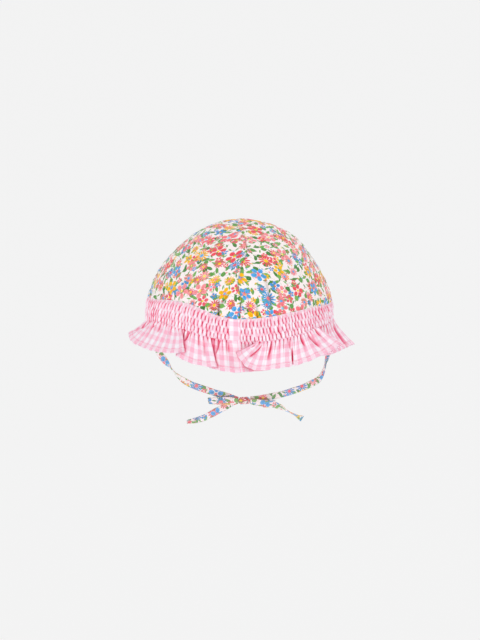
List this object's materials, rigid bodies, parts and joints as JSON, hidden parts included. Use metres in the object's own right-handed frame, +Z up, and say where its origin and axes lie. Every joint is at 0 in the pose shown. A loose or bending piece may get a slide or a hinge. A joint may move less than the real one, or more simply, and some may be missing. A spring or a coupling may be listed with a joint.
{
  "type": "baby sun bonnet with ruffled brim and chin ties",
  "caption": "Soft cotton baby bonnet: rounded print crown, shirred gingham band, flared ruffle and narrow chin ties knotted in a bow.",
  "frame": {"origin": "centre of the head opening, level with the lower edge of the shirred band, where a head fills it", "axes": "+Z up through the top of the crown, the front of the bonnet towards -Y, +X to the right of a viewer who faces its front"},
  "size_m": [0.1777, 0.1964, 0.1583],
  "materials": {
    "print_cotton": "fine plain-woven cotton with a small flower print on cream",
    "gingham_cotton": "yarn-dyed pink and white gingham cotton, small checks"
  },
  "bodies": {
    "root": {"crown_front_left": "print_cotton", "crown_front_right": "print_cotton", "crown_back_right": "print_cotton", "crown_back_left": "print_cotton", "shirred_band": "gingham_cotton", "ruffle": "gingham_cotton", "tie_left": "print_cotton", "tie_right": "print_cotton", "bow_knot": "print_cotton", "bow_loop_left": "print_cotton", "bow_loop_right": "print_cotton", "bow_tail_left": "print_cotton", "bow_tail_right": "print_cotton"}
  },
  "joints": []
}
